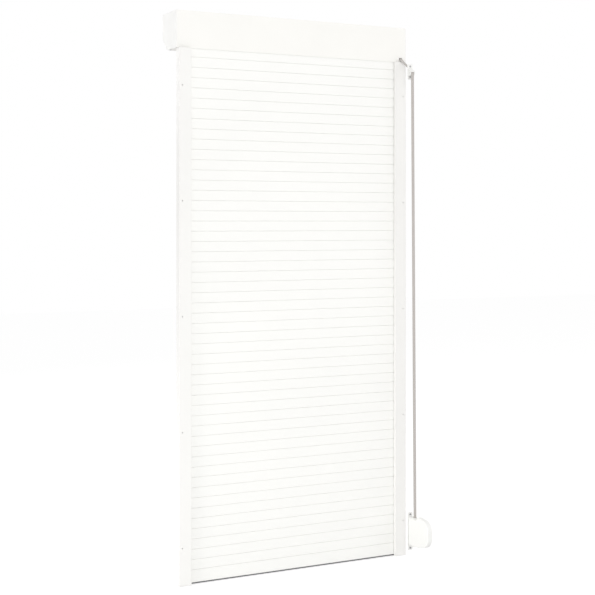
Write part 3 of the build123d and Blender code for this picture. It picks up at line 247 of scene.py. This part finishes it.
def powder_coat(name, colour, roughness=0.38, peel=0.00004):
    """White powder coat: a fine orange peel, and a very faint drift of tone and gloss."""
    finish = Finish(name)
    place = finish.place()
    drift = finish.noise(place, 3.0, 4.0)
    finish.tint(finish.range(drift, 0.0, 1.0), shade(colour, 0.985), shade(colour, 1.008))
    finish.link(finish.range(finish.noise(place, 22.0), roughness - 0.05, roughness + 0.06),
                finish.shader.inputs["Roughness"])
    finish.bump(finish.noise(place, 900.0, 2.0), peel)
    finish.shader.inputs["Specular IOR Level"].default_value = 0.4
    return finish.material


def slat_enamel(name, colour):
    """Roll-formed strip: enamel with faint lines from the rollers along each slat."""
    finish = Finish(name)
    stretched = finish.place(scale=(1.5, 60.0, 240.0))
    lines = finish.noise(stretched, 6.0, 3.0)
    drift = finish.noise(finish.place(), 2.2, 3.0)
    finish.tint(finish.range(drift, 0.0, 1.0), shade(colour, 0.988), shade(colour, 1.006))
    finish.link(finish.range(lines, 0.34, 0.46), finish.shader.inputs["Roughness"])
    finish.bump(lines, 0.00003)
    finish.shader.inputs["Specular IOR Level"].default_value = 0.4
    return finish.material


def moulded_plastic(name, colour, roughness=0.4, grain=0.00001):
    """Moulded plastic: fine spark-eroded grain and soft flow marks."""
    finish = Finish(name)
    place = finish.place()
    flow = finish.noise(finish.place(scale=(1, 1, 0.35)), 38.0, 2.0)
    finish.tint(finish.range(flow, 0.0, 1.0), shade(colour, 0.995), colour)
    finish.link(finish.range(finish.noise(place, 60.0), roughness - 0.02, roughness + 0.02),
                finish.shader.inputs["Roughness"])
    finish.bump(finish.noise(place, 2600.0, 1.0), grain)
    finish.shader.inputs["IOR"].default_value = 1.47
    return finish.material


def galvanised_steel(name):
    """Hot-dip zinc on steel: flakes of slightly different greys."""
    finish = Finish(name)
    flakes = finish.node("ShaderNodeTexVoronoi", feature="F1")
    flakes.inputs["Scale"].default_value = 130.0
    finish.link(finish.place(), flakes.inputs["Vector"])
    spread = finish.node("ShaderNodeSeparateColor")
    finish.link(flakes.outputs["Color"], spread.inputs["Color"])
    finish.tint(spread.outputs[0], (0.50, 0.51, 0.52), (0.64, 0.65, 0.66))
    finish.link(finish.range(spread.outputs[1], 0.32, 0.5, 0.0, 1.0), finish.shader.inputs["Roughness"])
    finish.bump(finish.noise(finish.place(), 420.0), 0.00003)
    finish.shader.inputs["Metallic"].default_value = 0.9
    return finish.material


def turned_steel(name, colour, roughness, stretch):
    """Bright steel with fine tool marks across one direction."""
    finish = Finish(name)
    marks = finish.noise(finish.place(scale=stretch), 900.0, 2.0)
    finish.tint(finish.range(marks, 0.0, 1.0), shade(colour, 0.86), colour)
    finish.link(finish.range(marks, roughness - 0.08, roughness + 0.1), finish.shader.inputs["Roughness"])
    finish.bump(marks, 0.00002)
    finish.shader.inputs["Metallic"].default_value = 1.0
    return finish.material


def dull_rubber(name, colour, stretch=(1, 1, 1)):
    """Extruded rubber: dull, with faint drawing lines and a bloom of paler dust."""
    finish = Finish(name)
    place = finish.place()
    bloom = finish.noise(place, 14.0, 5.0)
    finish.tint(finish.range(bloom, 0.0, 1.0), shade(colour, 0.8), shade(colour, 1.25))
    finish.link(finish.range(bloom, 0.62, 0.82), finish.shader.inputs["Roughness"])
    finish.bump(finish.noise(finish.place(scale=stretch), 500.0, 3.0), 0.00008)
    return finish.material


def woven_strap(name, colour):
    """Twill strap: slanting yarn lines painted as the weave's shade and highlight, two darker marker yarns, on the
    strap's own UV map in metres.
    """
    finish = Finish(name)
    pitch = sizes().weave_pitch
    width = sizes().strap_width
    split = finish.node("ShaderNodeSeparateXYZ")
    finish.link(finish.place(output="UV"), split.inputs["Vector"])
    across, along = split.outputs["X"], split.outputs["Y"]
    off_middle = finish.math("ABSOLUTE", finish.math("SUBTRACT", across, width / 2))
    slant = finish.math("ADD", finish.math("MULTIPLY", off_middle, 1.1), along)
    wave = finish.math("SINE", finish.math("MULTIPLY", slant, 2 * math.pi / pitch))
    yarn = finish.math("SINE", finish.math("MULTIPLY", across, 2 * math.pi / (pitch / 1.6)))
    relief = finish.math("ADD", finish.math("MULTIPLY", wave, 0.6), finish.math("MULTIPLY", yarn, 0.4))
    fuzz = finish.noise(finish.place(), 1600.0, 3.0)
    relief = finish.math("ADD", relief, finish.math("MULTIPLY", fuzz, 0.5))
    # Painted shade and highlight: the colour is darker in the weave's hollows and lighter on its ridges, following
    # its relief.
    lit = finish.range(relief, 0.0, 1.0, -1.0, 1.4)
    marker = finish.math("COMPARE", off_middle, width * 0.34)
    marker.node.inputs[2].default_value = width * 0.035
    darker = finish.math("SUBTRACT", lit, finish.math("MULTIPLY", marker, 0.55))
    finish.tint(darker, shade(colour, 0.72), shade(colour, 1.12))
    finish.shader.inputs["Roughness"].default_value = 0.85
    finish.shader.inputs["Sheen Weight"].default_value = 0.25
    finish.shader.inputs["Specular IOR Level"].default_value = 0.25
    finish.bump(relief, 0.00016)
    return finish.material


def wound_strap(name, colour, axis):
    """Strap on a roll: one ring for each layer round the roll's axis on its flat sides, painted darker as shade
    between the layers, and a fine random fuzz.
    """
    finish = Finish(name)
    split = finish.node("ShaderNodeSeparateXYZ")
    finish.link(finish.place(location=(0, -axis[0], -axis[1])), split.inputs["Vector"])
    square = finish.math("ADD", finish.math("POWER", split.outputs["Y"], 2.0),
                         finish.math("POWER", split.outputs["Z"], 2.0))
    radius = finish.math("SQRT", square)
    layer = finish.math("SINE", finish.math("MULTIPLY", radius, 2 * math.pi / STRAP_THICKNESS))
    fuzz = finish.noise(finish.place(), 1200.0, 3.0)
    relief = finish.math("ADD", layer, finish.math("MULTIPLY", fuzz, 0.8))
    # Painted shade between the wound layers, with a random fuzz of tone on top.
    finish.tint(finish.range(relief, 0.0, 1.0, -1.0, 1.6), shade(colour, 0.55), shade(colour, 1.1))
    finish.shader.inputs["Roughness"].default_value = 0.88
    finish.shader.inputs["Specular IOR Level"].default_value = 0.25
    finish.bump(relief, 0.0002)
    return finish.material


# Helpers for pieces


def dress(finish, *names):
    """Gives CAD nodes a finish."""
    for name in names:
        node = NODES[name]
        if not node.material_slots:
            node.data.materials.append(finish)
        for material_slot in node.material_slots:
            material_slot.material = finish


def set_order(mesh):
    """Puts vertices and faces in an order that is the same in each run, since some operators' isn't."""
    for index, vert in enumerate(sorted(mesh.verts, key=lambda vert: vert.co.to_tuple(7))):
        vert.index = index
    mesh.verts.sort()
    for index, face in enumerate(sorted(mesh.faces, key=lambda face: face.calc_center_median().to_tuple(7))):
        face.index = index
    mesh.faces.sort()


def add_piece(name, mesh, finish, slot, body, *nodes):
    """Puts a finished bmesh into the scene as a piece of a body, in place of CAD nodes."""
    bmesh.ops.recalc_face_normals(mesh, faces=mesh.faces)
    set_order(mesh)
    data = bpy.data.meshes.new(name)
    mesh.to_mesh(data)
    mesh.free()
    piece = bpy.data.objects.new(name, data)
    bpy.context.scene.collection.objects.link(piece)
    data.materials.append(finish)
    if nodes:
        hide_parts(*nodes)
    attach(piece, body)
    return piece


def bar(mesh, size, centre, bevel=0.0, segments=2):
    """Adds a block with rounded edges."""
    verts = bmesh.ops.create_cube(mesh, size=1.0)["verts"]
    bmesh.ops.scale(mesh, vec=size, verts=verts)
    bmesh.ops.translate(mesh, vec=centre, verts=verts)
    if bevel:
        edges = list({edge for vert in verts for edge in vert.link_edges})
        bmesh.ops.bevel(mesh, geom=edges, offset=bevel, segments=segments, profile=0.5, affect="EDGES", material=-1)


# Curtain


def slat_blank():
    """One slat from its lower edge: crowned faces, rounded long edges, and the hook that carries the next slat."""
    shape = sizes()
    height = shape.slat_pitch - shape.slat_gap
    mesh = bmesh.new()
    bmesh.ops.create_cube(mesh, size=1.0)
    bmesh.ops.scale(mesh, vec=(2 * SLAT_HALF, shape.slat_thickness, height), verts=mesh.verts)
    uprights = [edge for edge in mesh.edges if abs(edge.verts[0].co.z - edge.verts[1].co.z) > height / 2]
    bmesh.ops.subdivide_edges(mesh, edges=uprights, cuts=SLAT_FACE_CUTS, use_grid_fill=True)
    for vert in mesh.verts:
        share = abs(vert.co.z) / (height / 2)
        vert.co.y -= math.copysign(shape.slat_crown * share ** 2, vert.co.y)
    long_edges = [edge for edge in mesh.edges
                  if all(abs(abs(vert.co.z) - height / 2) < 1e-6 for vert in edge.verts)
                  and abs(edge.verts[0].co.x - edge.verts[1].co.x) > SLAT_HALF]
    bmesh.ops.bevel(mesh, geom=long_edges, offset=SLAT_EDGE_RADIUS, segments=3, profile=0.5, affect="EDGES",
                    material=-1)
    bar(mesh, HOOK_NECK_SIZE, (0, 0, shape.slat_pitch / 2 + HOOK_NECK_RISE))
    bar(mesh, HOOK_HEAD_SIZE, (0, 0, shape.slat_pitch / 2 + HOOK_HEAD_RISE), HOOK_HEAD_BEVEL)
    bmesh.ops.translate(mesh, vec=(0, 0, shape.slat_pitch / 2), verts=mesh.verts)
    blank = bpy.data.meshes.new("slat blank")
    mesh.to_mesh(blank)
    mesh.free()
    return blank


def set_slat(mesh, blank, foot, lean):
    """Adds a slat to the mesh with its lower edge at foot, leaning towards the tube."""
    before = len(mesh.verts)
    mesh.from_mesh(blank)
    mesh.verts.ensure_lookup_table()
    added = mesh.verts[before:]
    bmesh.ops.rotate(mesh, cent=(0, 0, 0), matrix=Matrix.Rotation(-math.radians(lean), 3, "X"), verts=added)
    bmesh.ops.translate(mesh, vec=(0, foot[0], foot[1]), verts=added)


def draw_up(piece):
    """Gives a curtain piece a mesh of its own."""
    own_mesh(piece)


class ShutterSlats(bpy.types.Operator):
    """Makes the curtain's slats and the clips in their ends"""

    bl_idname = "shutter.slats"
    bl_label = "Slats and end clips"

    def execute(self, context):
        shape = sizes()
        enamel = slat_enamel("slat enamel", colours().slats)
        blank = slat_blank()
        for number, node in enumerate(SLAT_NODES):
            mesh = bmesh.new()
            for index in range(SLATS_PER_NODE):
                low = FIRST_SLAT_Z + (number * SLATS_PER_NODE + index) * shape.slat_pitch
                set_slat(mesh, blank, (SLAT_Y, low), 0.0)
            draw_up(add_piece("slats_%02d" % (number + 1), mesh, enamel, "slat_paint", "curtain", node))
        mesh = bmesh.new()
        for foot, lean in TOP_SLATS:
            set_slat(mesh, blank, foot, lean)
        draw_up(add_piece("slats_top", mesh, enamel, "slat_paint", "curtain", "curtain_top_slats"))

        clip = moulded_plastic("clip plastic", shade(colours().plastic, 0.95))
        mesh = bmesh.new()
        for side in (-1, 1):
            for index in range(0, SLATS_PER_NODE * len(SLAT_NODES), 2):
                middle = FIRST_SLAT_Z + (index + 0.5) * shape.slat_pitch
                bar(mesh, CLIP_SIZE, (side * (SLAT_HALF + CLIP_SIZE[0] / 2), SLAT_Y, middle), CLIP_BEVEL, 1)
        draw_up(add_piece("slat_clips", mesh, clip, "white_plastic", "curtain", "slat_end_clips"))
        return {"FINISHED"}


class ShutterFinalSlat(bpy.types.Operator):
    """Finishes the final slat, its gasket, plugs and stops"""

    bl_idname = "shutter.final_slat"
    bl_label = "Final slat"

    def execute(self, context):
        dress(powder_coat("final slat paint", colours().slats), "final_slat")
        dress(dull_rubber("gasket rubber", colours().gasket, (0.02, 1, 1)), "final_slat_gasket")
        dress(moulded_plastic("stop plastic", colours().plastic), "final_slat_plugs", "final_slat_stops")
        dress(turned_steel("stop screw steel", (0.62, 0.62, 0.63), 0.32, (1, 0.1, 1)), "stop_screws")
        return {"FINISHED"}


# Box and guides


class ShutterBox(bpy.types.Operator):
    """Finishes the box: shells, end caps, screws and the strap's outlet"""

    bl_idname = "shutter.box"
    bl_label = "Box"

    def execute(self, context):
        dress(powder_coat("box paint", colours().box), "box_rear_shell", "box_front_cover")
        dress(powder_coat("cap paint", colours().caps, 0.42), "end_cap_left", "end_cap_right")
        dress(turned_steel("cover screw steel", (0.66, 0.66, 0.67), 0.3, (1, 1, 0.1)), "box_cover_screws")
        dress(moulded_plastic("outlet plastic", colours().plastic), "strap_outlet")
        dress(moulded_plastic("outlet roller plastic", shade(colours().plastic, 0.9)), "outlet_roller")
        dress(turned_steel("outlet pin steel", (0.6, 0.6, 0.61), 0.3, (0.1, 1, 1)), "outlet_roller_pin")
        return {"FINISHED"}


class ShutterGuides(bpy.types.Operator):
    """Finishes the side guides, their seals, foot plugs and funnels"""

    bl_idname = "shutter.guides"
    bl_label = "Guides"

    def execute(self, context):
        dress(powder_coat("guide paint", colours().guides), "guide_left", "guide_right")
        dress(dull_rubber("seal rubber", colours().seals, (1, 1, 0.02)), "guide_seals_left", "guide_seals_right")
        dress(moulded_plastic("guide plastic", shade(colours().plastic, 0.97)), "guide_foot_plugs",
              "guide_funnels")
        return {"FINISHED"}


# Tube


class ShutterTube(bpy.types.Operator):
    """Finishes the tube, its plug, pins, bearings, pulley and suspension strips"""

    bl_idname = "shutter.tube"
    bl_label = "Tube and pulley"

    def execute(self, context):
        dress(galvanised_steel("tube zinc"), "roller_tube")
        dress(turned_steel("pin steel", (0.66, 0.66, 0.67), 0.25, (0.1, 1, 1)), "tube_end_pin", "pulley_pin",
              "strip_rivets")
        dress(turned_steel("bearing steel", (0.5, 0.5, 0.51), 0.2, (1, 0.2, 0.2)), "tube_bearing_left",
              "tube_bearing_right")
        dress(moulded_plastic("pulley plastic", (0.70, 0.70, 0.69), 0.45), "strap_pulley", "tube_end_plug")
        dress(turned_steel("strip steel", (0.36, 0.39, 0.43), 0.22, (1, 0.1, 1)), "suspension_strips")
        dress(wound_strap("strap on the pulley", colours().strap, TUBE_AXIS), "strap_on_pulley")
        return {"FINISHED"}


# Strap


def run_between(centre_a, radius_a, centre_b, radius_b):
    """The straight run that touches two circles. A radius is positive where its centre lies left of it."""
    gap_y, gap_z = centre_b[0] - centre_a[0], centre_b[1] - centre_a[1]
    turn = math.asin((radius_b - radius_a) / math.hypot(gap_y, gap_z))
    angle = math.atan2(gap_z, gap_y) - turn
    left_y, left_z = -math.sin(angle), math.cos(angle)
    return ((centre_a[0] - left_y * radius_a, centre_a[1] - left_z * radius_a),
            (centre_b[0] - left_y * radius_b, centre_b[1] - left_z * radius_b), angle)


def strap_stations(places):
    """Places and directions along a strap that goes round the given circles."""
    stations = []
    runs = [run_between(*places[index], *places[index + 1]) for index in range(len(places) - 1)]
    for index, (start, end, angle) in enumerate(runs):
        if index:
            centre, radius = places[index]
            before = runs[index - 1][2]
            for step in range(1, STEPS_ROUND_A_ROLLER):
                turned = before + (angle - before) * step / STEPS_ROUND_A_ROLLER
                stations.append((centre[0] + math.sin(turned) * radius,
                                 centre[1] - math.cos(turned) * radius, turned))
        steps = max(2, int(math.dist(start, end) / STRAIGHT_STEP))
        for step in range(steps + 1):
            share = step / steps
            stations.append((start[0] + (end[0] - start[0]) * share,
                             start[1] + (end[1] - start[1]) * share, angle))
    return stations


def woven_ribbon(name, stations, finish, body, *nodes):
    """A flat woven strap with rounded selvedges, laid along its stations."""
    width = sizes().strap_width
    mesh = bmesh.new()
    layer = mesh.loops.layers.uv.new("UVMap")
    height = mesh.verts.layers.float.new("along")
    bmesh.ops.create_circle(mesh, cap_ends=True, segments=16, radius=1.0)
    for vert in mesh.verts:
        across, thick = vert.co.x, vert.co.y
        flat = math.copysign(min(1.0, abs(across) * 1.35), across)
        full = math.copysign(abs(thick) ** 0.35, thick) if abs(thick) > 1e-6 else 0.0
        vert.co = Vector((flat * width / 2, full * STRAP_THICKNESS / 2, 0.0))
    section = list(mesh.verts)
    shape = [vert.co.copy() for vert in section]
    lengths = [0.0]
    for index in range(1, len(stations)):
        lengths.append(lengths[-1] + math.dist(stations[index][:2], stations[index - 1][:2]))
    cap = list(mesh.faces)

    def lay(verts, station, length):
        y, z, angle = station
        for vert, local in zip(verts, shape):
            vert.co = Vector((STRAP_X + local.x, y - math.sin(angle) * local.y, z + math.cos(angle) * local.y))
            vert[height] = length

    lay(section, stations[0], lengths[0])
    for station, length in zip(stations[1:], lengths[1:]):
        order = {vert: index for index, vert in enumerate(section)}
        made = bmesh.ops.extrude_face_region(mesh, geom=cap)["geom"]
        new_verts = [item for item in made if isinstance(item, bmesh.types.BMVert)]
        new_cap = [item for item in made if isinstance(item, bmesh.types.BMFace)]
        ordered = [None] * len(section)
        for vert in new_verts:
            for edge in vert.link_edges:
                other = edge.other_vert(vert)
                if other in order:
                    ordered[order[other]] = vert
        lay(ordered, station, length)
        old_cap = [face for face in cap if face.is_valid]
        if length != lengths[1]:  # the first one stays, as the strap's end
            bmesh.ops.delete(mesh, geom=old_cap, context="FACES_ONLY")
        section, cap = ordered, new_cap
    for face in mesh.faces:
        for loop in face.loops:
            loop[layer].uv = (loop.vert.co.x - STRAP_X + width / 2, loop.vert[height])
    return add_piece(name, mesh, finish, "strap_fabric", body, *nodes)


class ShutterStrap(bpy.types.Operator):
    """Makes the woven strap from the pulley to the coiler and inside it"""

    bl_idname = "shutter.strap"
    bl_label = "Strap"

    def execute(self, context):
        weave = woven_strap("strap weave", colours().strap)
        woven_ribbon("strap", strap_stations(OUTSIDE_ROUTE), weave, "housing", "strap_run")
        woven_ribbon("strap_to_drum", strap_stations(INSIDE_ROUTE), weave, "coiler_case", "strap_in_coiler")
        return {"FINISHED"}


class ShutterStrapGuide(bpy.types.Operator):
    """Finishes the strap guide on the window frame"""

    bl_idname = "shutter.strap_guide"
    bl_label = "Strap guide"

    def execute(self, context):
        dress(moulded_plastic("guide plate plastic", colours().plastic, 0.3), "strap_guide_plate",
              "strap_guide_hood")
        dress(moulded_plastic("guide roller plastic", shade(colours().plastic, 0.9)), "strap_guide_roller")
        dress(turned_steel("guide pin steel", (0.6, 0.6, 0.61), 0.28, (0.1, 1, 1)), "strap_guide_pin")
        dress(turned_steel("guide screw steel", (0.45, 0.45, 0.46), 0.3, (1, 0.1, 1)), "strap_guide_screws")
        return {"FINISHED"}


class ShutterCoiler(bpy.types.Operator):
    """Finishes the strap coiler: base, case, drum, spring and screws"""

    bl_idname = "shutter.coiler"
    bl_label = "Strap coiler"

    def execute(self, context):
        shell = moulded_plastic("coiler shell plastic", colours().plastic, 0.3)
        dress(shell, "coiler_case_left", "coiler_case_right")
        dress(moulded_plastic("coiler base plastic", shade(colours().plastic, 0.98), 0.34), "coiler_base",
              "coiler_bush")
        dress(moulded_plastic("drum plastic", (0.62, 0.62, 0.61), 0.45), "coiler_drum")
        dress(turned_steel("coiler steel", (0.62, 0.62, 0.63), 0.28, (0.2, 1, 1)), "coiler_axle", "coiler_foot_pin")
        dress(turned_steel("coiler screw steel", (0.45, 0.45, 0.46), 0.3, (1, 0.1, 1)), "coiler_screws",
              "coiler_case_screws")
        dress(turned_steel("spring steel", (0.34, 0.37, 0.42), 0.2, (1, 1, 0.2)), "coiler_spring")
        dress(wound_strap("strap on the drum", colours().strap, DRUM_AXIS), "strap_on_drum")
        return {"FINISHED"}


# Stage


def lamp(name, place, target, size, power, spread=180.0):
    light = bpy.data.lights.new(name, "AREA")
    light.shape = "SQUARE"
    light.size = size
    light.energy = power
    light.spread = math.radians(spread)
    made = bpy.data.objects.new(name, light)
    made.location = place
    made.rotation_euler = (Vector(target) - Vector(place)).to_track_quat("-Z", "Y").to_euler()
    bpy.context.scene.collection.objects.link(made)


class ShutterStage(bpy.types.Operator):
    """Makes the camera, the soft light, the pale floor and the white surroundings"""

    bl_idname = "shutter.stage"
    bl_label = "Stage"

    def execute(self, context):
        scene = context.scene
        scene.view_settings.view_transform = "Standard"
        camera = bpy.data.cameras.new("camera")
        camera.sensor_width = CAMERA_SENSOR
        camera.lens = CAMERA_LENS
        camera.shift_y = CAMERA_SHIFT_Y
        camera.clip_end = 100.0
        eye = bpy.data.objects.new("camera", camera)
        eye.location = CAMERA_PLACE
        eye.rotation_euler = (math.radians(90.0), 0.0, math.radians(CAMERA_TURN))
        scene.collection.objects.link(eye)
        scene.camera = eye

        for name, values in LAMPS.items():
            lamp(name, *values)

        world = bpy.data.worlds.new("soft room")
        scene.world = world
        world.use_nodes = True
        tree = world.node_tree
        background = tree.nodes["Background"]
        background.inputs["Color"].default_value = (1, 1, 1, 1)
        rays = tree.nodes.new("ShaderNodeLightPath")
        seen = tree.nodes.new("ShaderNodeMath")
        seen.operation = "MAXIMUM"
        both = tree.nodes.new("ShaderNodeMath")
        both.operation = "MAXIMUM"
        tree.links.new(rays.outputs["Is Camera Ray"], seen.inputs[0])
        tree.links.new(rays.outputs["Is Glossy Ray"], seen.inputs[1])
        tree.links.new(seen.outputs[0], both.inputs[0])
        tree.links.new(rays.outputs["Is Transmission Ray"], both.inputs[1])
        level = tree.nodes.new("ShaderNodeMapRange")
        level.inputs["To Min"].default_value = ROOM_GLOW
        level.inputs["To Max"].default_value = 1.0
        tree.links.new(both.outputs[0], level.inputs["Value"])
        tree.links.new(level.outputs["Result"], background.inputs["Strength"])

        mesh = bmesh.new()
        bmesh.ops.create_grid(mesh, x_segments=1, y_segments=1, size=sizes().floor_size / 2)
        bmesh.ops.translate(mesh, vec=(0, 0, -FLOOR_DEPTH), verts=mesh.verts)
        data = bpy.data.meshes.new("floor")
        mesh.to_mesh(data)
        mesh.free()
        floor = bpy.data.objects.new("floor", data)
        scene.collection.objects.link(floor)
        pale = bpy.data.materials.new("pale floor")
        pale.use_nodes = True
        tree = pale.node_tree
        tree.nodes.clear()
        output = tree.nodes.new("ShaderNodeOutputMaterial")
        diffuse = tree.nodes.new("ShaderNodeBsdfDiffuse")
        diffuse.inputs["Color"].default_value = FLOOR_COLOUR
        glow = tree.nodes.new("ShaderNodeEmission")
        rays = tree.nodes.new("ShaderNodeLightPath")
        seen = tree.nodes.new("ShaderNodeMath")
        seen.operation = "MULTIPLY"
        seen.inputs[1].default_value = FLOOR_GLOW
        tree.links.new(rays.outputs["Is Camera Ray"], seen.inputs[0])
        tree.links.new(seen.outputs[0], glow.inputs["Strength"])
        total = tree.nodes.new("ShaderNodeAddShader")
        tree.links.new(diffuse.outputs[0], total.inputs[0])
        tree.links.new(glow.outputs[0], total.inputs[1])
        tree.links.new(total.outputs[0], output.inputs["Surface"])
        data.materials.append(pale)
        return {"FINISHED"}


class ShutterPanel(bpy.types.Panel):
    """Lists the shutter's sizes, colours and pieces"""

    bl_idname = "VIEW3D_PT_shutter"
    bl_label = "Roller shutter"
    bl_space_type = "VIEW_3D"
    bl_region_type = "UI"
    bl_category = "Shutter"

    def draw(self, context):
        layout = self.layout
        for group in (context.scene.shutter_sizes, context.scene.shutter_colours):
            column = layout.column()
            for key in group.__annotations__:
                column.prop(group, key)
        for operator in OPERATORS:
            layout.operator(operator.bl_idname)


OPERATORS = (ShutterStage, ShutterStrap, ShutterSlats, ShutterFinalSlat, ShutterBox, ShutterGuides, ShutterTube,
             ShutterStrapGuide, ShutterCoiler)
CLASSES = (ShutterSizes, ShutterColours) + OPERATORS + (ShutterPanel,)


def register():
    for made in CLASSES:
        bpy.utils.register_class(made)
    bpy.types.Scene.shutter_sizes = bpy.props.PointerProperty(type=ShutterSizes)
    bpy.types.Scene.shutter_colours = bpy.props.PointerProperty(type=ShutterColours)


def unregister():
    del bpy.types.Scene.shutter_sizes
    del bpy.types.Scene.shutter_colours
    for made in reversed(CLASSES):
        bpy.utils.unregister_class(made)


def main():
    register()
    bpy.ops.shutter.stage()
    bpy.ops.shutter.strap()
    bpy.ops.shutter.slats()
    bpy.ops.shutter.final_slat()
    bpy.ops.shutter.box()
    bpy.ops.shutter.guides()
    bpy.ops.shutter.tube()
    bpy.ops.shutter.strap_guide()
    bpy.ops.shutter.coiler()


if __name__ == "__main__":
    main()
